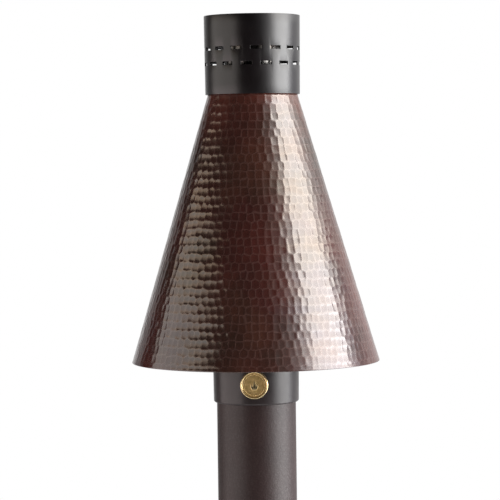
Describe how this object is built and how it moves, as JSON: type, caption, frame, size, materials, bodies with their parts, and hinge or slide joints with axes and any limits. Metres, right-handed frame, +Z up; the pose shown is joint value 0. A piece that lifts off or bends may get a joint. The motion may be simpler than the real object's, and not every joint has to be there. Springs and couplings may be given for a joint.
{
  "type": "gas tiki torch",
  "caption": "Garden gas torch on a round post: a hammered copper cone shade under a slotted black wind guard, lifted off over a burner with a shut-off valve.",
  "frame": {"origin": "on the ground, at the post's axis", "axes": "+Z up along the post, -Y towards the front, where the medallion is, +X to the right seen from the front"},
  "size_m": [0.2386, 0.2386, 1.8445],
  "materials": {
    "hammered_copper": "hand-hammered copper sheet with a dark, warm patina and paler worn ridges",
    "black_coat": "satin black baked enamel",
    "bronze_coat": "satin dark bronze-grey enamel on cast aluminium",
    "post_coat": "finely textured dark brown powder coat",
    "medallion_brass": "cast brass, bright on its raised rim and dark in its field",
    "valve_brass": "machined brass",
    "copper_tube": "drawn soft copper tube",
    "zinc_steel": "zinc-plated steel",
    "black_steel": "black oxide steel",
    "flange_iron": "cast iron with the post's coating",
    "burner_steel": "bright stainless steel, straw-tinted by heat at its top",
    "valve_chrome": "polished chrome-plated ball",
    "seal_white": "white seat seals",
    "grip_vinyl": "yellow dipped vinyl"
  },
  "bodies": {
    "stand": {"base_flange": "flange_iron", "base_screws": "black_steel", "post": "post_coat", "inlet_fitting": "valve_brass", "flare_nuts": "valve_brass", "gas_tube": "copper_tube", "supply_union": "valve_brass", "deck_nipple": "zinc_steel", "deck_locknuts": "zinc_steel", "fitter": "bronze_coat", "medallion": "medallion_brass", "fitter_screws": "black_steel", "valve_body": "valve_brass", "valve_cap": "valve_brass", "valve_seats": "seal_white", "packing_nut": "valve_brass", "riser_pipe": "zinc_steel", "shade_carrier": "zinc_steel", "carrier_locknuts": "zinc_steel", "burner_can": "burner_steel", "burner_cap": "burner_steel", "gas_jet": "valve_brass"},
    "shade": {"cone_shade": "hammered_copper", "wind_guard": "black_coat", "neck_ring": "black_steel", "neck_screws": "black_steel"},
    "valve_handle": {"valve_ball": "valve_chrome", "valve_stem": "valve_brass", "valve_lever": "zinc_steel", "lever_grip": "grip_vinyl", "lever_nut": "zinc_steel"},
    "cover": {"base_cover": "post_coat"}
  },
  "joints": [
    {"name": "shade_lift", "type": "slide", "parent": "stand", "child": "shade", "axis": [0, 0, 1], "range_m": [0, 0.35]},
    {"name": "valve_turn", "type": "hinge", "parent": "stand", "child": "valve_handle", "pos_m": [0, -0.03, 1.5765], "axis": [0, -1, 0], "range_deg": [0, 90]},
    {"name": "cover_lift", "type": "slide", "parent": "stand", "child": "cover", "axis": [0, 0, 1], "range_m": [0, 0.25]}
  ]
}
